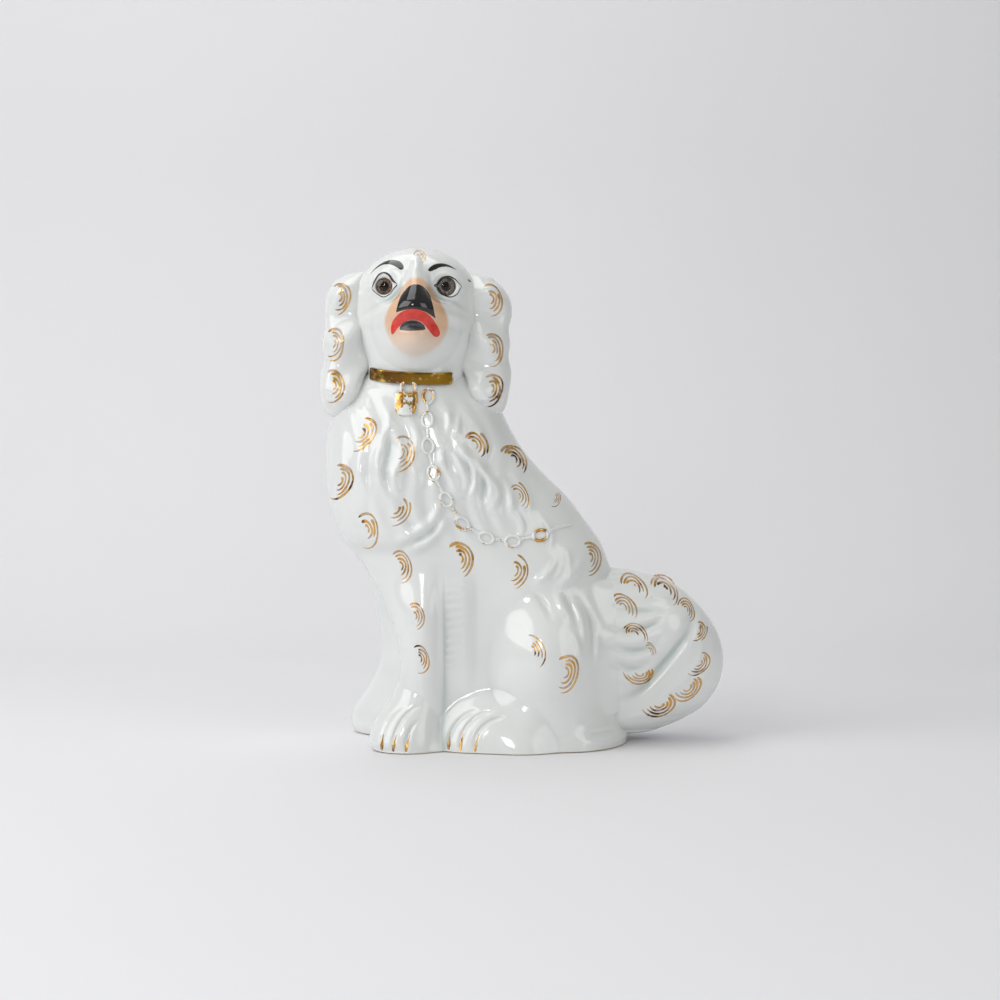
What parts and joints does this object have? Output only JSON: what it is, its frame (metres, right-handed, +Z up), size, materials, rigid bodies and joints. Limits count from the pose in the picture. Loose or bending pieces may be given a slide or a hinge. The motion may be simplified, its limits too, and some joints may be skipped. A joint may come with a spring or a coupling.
{
  "type": "ceramic dog figure",
  "caption": "Hollow press-moulded earthenware spaniel, seated in profile with its head turned to the viewer, with glass eyes, gilt collar, padlock and relief chain",
  "frame": {"origin": "middle of the foot, on the table", "axes": "+Z up, -X the way the chest faces, -Y the side that is seen, with the face turned to it"},
  "size_m": [0.2604, 0.1253, 0.3182],
  "materials": {
    "glazed_earthenware": "white tin-like glossy glaze with a faint blue-green pooling in hollows, painted face and gilt fur marks",
    "bare_earthenware": "unglazed cream clay",
    "gilding": "worn bright gilding over glazed clay relief",
    "eye_glass": "clear polished cabochon",
    "eye_iris": "brown enamel backing, flecked",
    "eye_pupil": "black enamel backing",
    "eye_plaster": "matt plaster"
  },
  "bodies": {
    "root": {"base_slab": "glazed_earthenware", "body_left_half": "glazed_earthenware", "body_right_half": "glazed_earthenware", "head_front_half": "glazed_earthenware", "head_back_half": "glazed_earthenware", "left_foreleg": "glazed_earthenware", "right_foreleg": "glazed_earthenware", "left_hind_foot": "glazed_earthenware", "right_hind_foot": "glazed_earthenware", "tail": "glazed_earthenware", "left_ear": "glazed_earthenware", "right_ear": "glazed_earthenware", "body_seam_strips": "bare_earthenware", "head_seam_strip": "bare_earthenware", "collar": "gilding", "padlock": "gilding", "padlock_ring": "gilding", "lead_chain": "gilding", "left_eye_glass": "eye_glass", "left_eye_iris": "eye_iris", "left_eye_pupil": "eye_pupil", "left_eye_bedding": "eye_plaster", "right_eye_glass": "eye_glass", "right_eye_iris": "eye_iris", "right_eye_pupil": "eye_pupil", "right_eye_bedding": "eye_plaster"}
  },
  "joints": []
}
